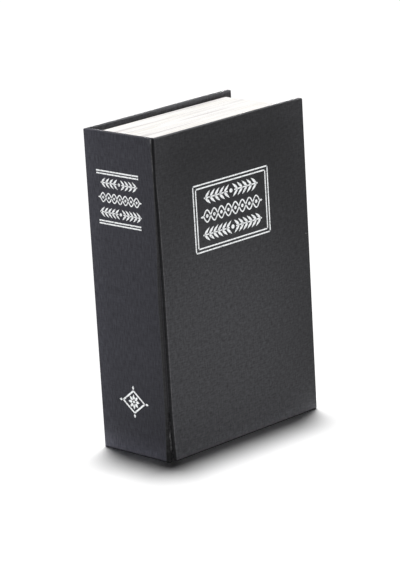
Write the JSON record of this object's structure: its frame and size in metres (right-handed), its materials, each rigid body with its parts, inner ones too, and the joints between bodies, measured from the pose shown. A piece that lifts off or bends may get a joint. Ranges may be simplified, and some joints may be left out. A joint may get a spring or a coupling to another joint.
{
  "type": "book diversion safe",
  "caption": "Hardback book case around a folded steel box with a hinged lid and a cam lock; the front cover turns on a cloth joint and hides the lid.",
  "frame": {"origin": "middle of the closed book's footprint, on the surface that it stands on", "axes": "+Z from tail to head, +X from spine to fore edge, +Y from front cover to back cover"},
  "size_m": [0.117, 0.052, 0.18],
  "materials": {
    "book_cloth": "matte",
    "greyboard": "matte",
    "endpaper": "matte",
    "pages": "matte",
    "enamelled_steel": "satin",
    "zinc_plated_steel": "satin",
    "nickel_plate": "polished",
    "brass": "satin"
  },
  "bodies": {
    "case": {"back_board": "greyboard", "back_cloth": "book_cloth", "back_joint_cloth": "book_cloth", "back_endpaper": "endpaper", "spine_board": "greyboard", "spine_cloth": "book_cloth", "front_joint_cloth": "book_cloth", "page_block": "pages", "steel_box": "enamelled_steel", "strike_bracket": "zinc_plated_steel", "box_hinge_leaf": "zinc_plated_steel", "hinge_pin": "zinc_plated_steel", "box_rivet_1": "zinc_plated_steel", "box_rivet_2": "zinc_plated_steel", "box_rivet_3": "zinc_plated_steel"},
    "front_cover": {"front_board": "greyboard", "front_cloth": "book_cloth", "front_endpaper": "endpaper"},
    "lid": {"lid_plate": "enamelled_steel", "lid_hinge_leaf": "zinc_plated_steel", "lid_rivet_1": "zinc_plated_steel", "lid_rivet_2": "zinc_plated_steel", "lid_rivet_3": "zinc_plated_steel", "lock_housing": "nickel_plate", "lock_washer": "zinc_plated_steel", "lock_nut": "zinc_plated_steel"},
    "lock_cylinder": {"lock_plug": "brass", "lock_cam": "zinc_plated_steel", "cam_screw": "zinc_plated_steel"}
  },
  "joints": [
    {"name": "front_cover_hinge", "type": "hinge", "parent": "case", "child": "front_cover", "pos_m": [-0.0569, -0.026, 0.09], "axis": [0, 0, -1], "range_deg": [0, 180], "deforming": ["front_joint_cloth"]},
    {"name": "lid_hinge", "type": "hinge", "parent": "case", "child": "lid", "pos_m": [-0.0468, -0.02025, 0.09], "axis": [0, 0, -1], "range_deg": [0, 108]},
    {"name": "lock_turn", "type": "hinge", "parent": "lid", "child": "lock_cylinder", "pos_m": [0.0256, -0.011, 0.09], "axis": [0, 1, 0], "range_deg": [0, 90]}
  ],
  "couplings": [
    {"joint": "lid_hinge", "follows": "front_cover_hinge", "ratio": 0.6}
  ]
}
